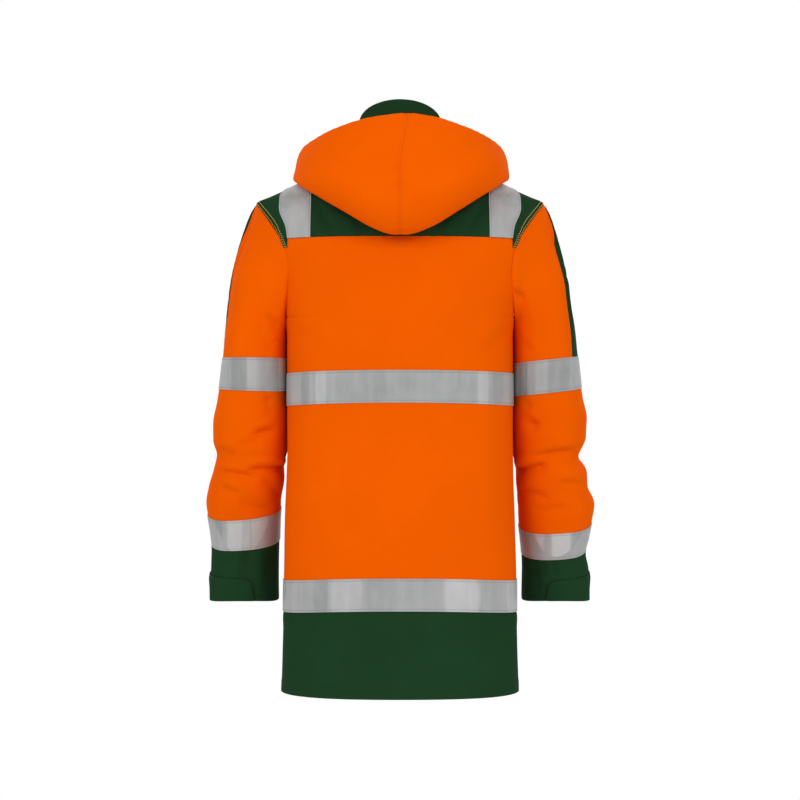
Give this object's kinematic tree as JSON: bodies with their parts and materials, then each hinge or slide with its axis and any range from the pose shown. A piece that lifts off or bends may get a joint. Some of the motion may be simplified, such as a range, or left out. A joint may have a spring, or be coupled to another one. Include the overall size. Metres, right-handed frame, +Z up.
{
  "type": "hi-vis work parka",
  "caption": "Long orange and green hi-vis work parka with a lowered hood, collar, zip front and reflective tapes, filled out as if worn.",
  "frame": {"origin": "base of the neck on the centre line, where the wearer's neck and shoulders hold the jacket", "axes": "+Z up towards the collar, -Y towards the zip front, +X towards the wearer's left"},
  "size_m": [0.6335, 0.3572, 0.9305],
  "materials": {
    "orange_fabric": "woven coated polyester, fluorescent orange, slight sheen",
    "green_fabric": "woven coated polyester, dark green, slight sheen",
    "reflective_tape": "silver-grey glass-bead tape, satin",
    "zip_plastic": "moulded plastic teeth on dark tape",
    "zip_metal": "plated metal, satin"
  },
  "bodies": {
    "jacket": {"back": "orange_fabric", "front_left": "orange_fabric", "front_right": "orange_fabric", "hem_band": "green_fabric", "chest_tape": "reflective_tape", "lower_tape": "reflective_tape", "yoke": "green_fabric", "shoulder_tape_left": "reflective_tape", "shoulder_tape_right": "reflective_tape", "sleeve_upper_left": "orange_fabric", "sleeve_stripe_left": "green_fabric", "sleeve_lower_left": "orange_fabric", "sleeve_upper_tape_left": "reflective_tape", "sleeve_lower_tape_left": "reflective_tape", "cuff_left": "green_fabric", "cuff_tab_left": "green_fabric", "sleeve_upper_right": "orange_fabric", "sleeve_stripe_right": "green_fabric", "sleeve_lower_right": "orange_fabric", "sleeve_upper_tape_right": "reflective_tape", "sleeve_lower_tape_right": "reflective_tape", "cuff_right": "green_fabric", "cuff_tab_right": "green_fabric", "collar": "green_fabric", "hood_left": "orange_fabric", "hood_right": "orange_fabric", "zip_band": "zip_plastic", "zip_slider": "zip_metal"},
    "zip_pull": {"zip_pull": "zip_metal"}
  },
  "joints": [
    {"name": "zip_pull_swing", "type": "hinge", "parent": "jacket", "child": "zip_pull", "pos_m": [0, -0.06563, 0.00339], "axis": [-1, 0, 0], "range_deg": [0, 150]}
  ]
}
